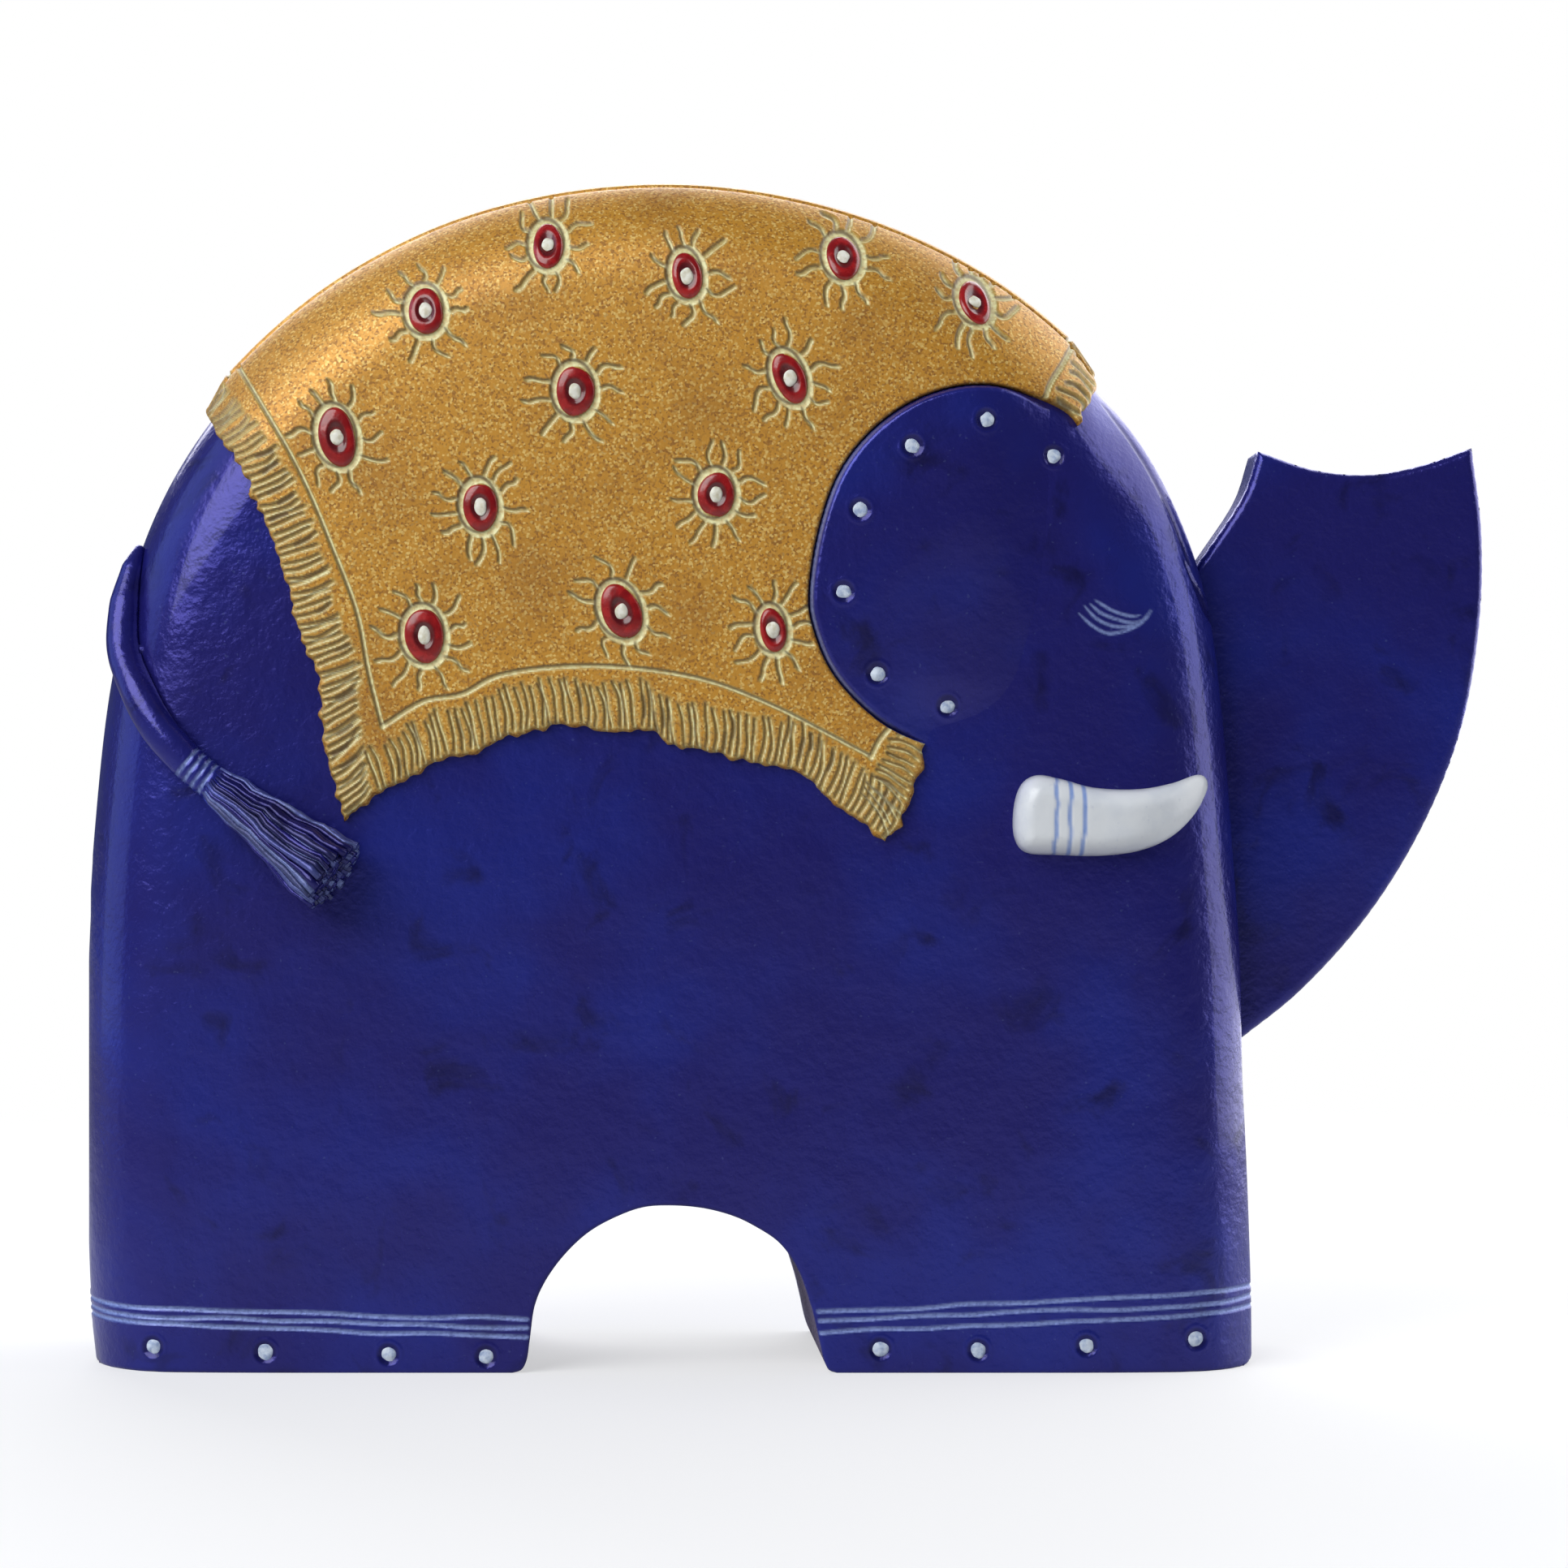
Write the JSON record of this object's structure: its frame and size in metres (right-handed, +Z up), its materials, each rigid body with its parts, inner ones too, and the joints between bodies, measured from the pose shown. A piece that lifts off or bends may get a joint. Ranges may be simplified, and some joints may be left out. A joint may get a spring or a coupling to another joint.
{
  "type": "elephant figurine",
  "caption": "Free-standing stylised elephant built up from a thick body board, a let-in trunk board, applied ears and tusks, a fringed saddle blanket and a rope tail.",
  "frame": {"origin": "on the ground, under the middle of the whole piece", "axes": "+X towards the trunk, +Z up, +Y out of the elephant's left flank"},
  "size_m": [0.2, 0.0635, 0.167],
  "materials": {
    "blue_lacquer": "carved wood under glossy ultramarine lacquer with a fine orange-peel surface",
    "gold_paint": "carved wood under metallic flake gold paint, satin",
    "ivory_paint": "carved wood under cool white satin paint",
    "bare_wood": "bare turned hardwood"
  },
  "bodies": {
    "root": {"body_block": "blue_lacquer", "trunk": "blue_lacquer", "trunk_dowel_upper": "bare_wood", "trunk_dowel_lower": "bare_wood", "blanket_right": "gold_paint", "blanket_crest": "gold_paint", "blanket_left": "gold_paint", "ear_right": "blue_lacquer", "ear_left": "blue_lacquer", "ear_pin_right_upper": "bare_wood", "ear_pin_right_lower": "bare_wood", "ear_pin_left_upper": "bare_wood", "ear_pin_left_lower": "bare_wood", "tusk_right": "ivory_paint", "tusk_left": "ivory_paint", "tusk_pin_right": "bare_wood", "tusk_pin_left": "bare_wood", "tail_rope": "blue_lacquer", "tail_peg": "bare_wood", "tail_tassel": "blue_lacquer", "tassel_pin": "bare_wood"}
  },
  "joints": []
}
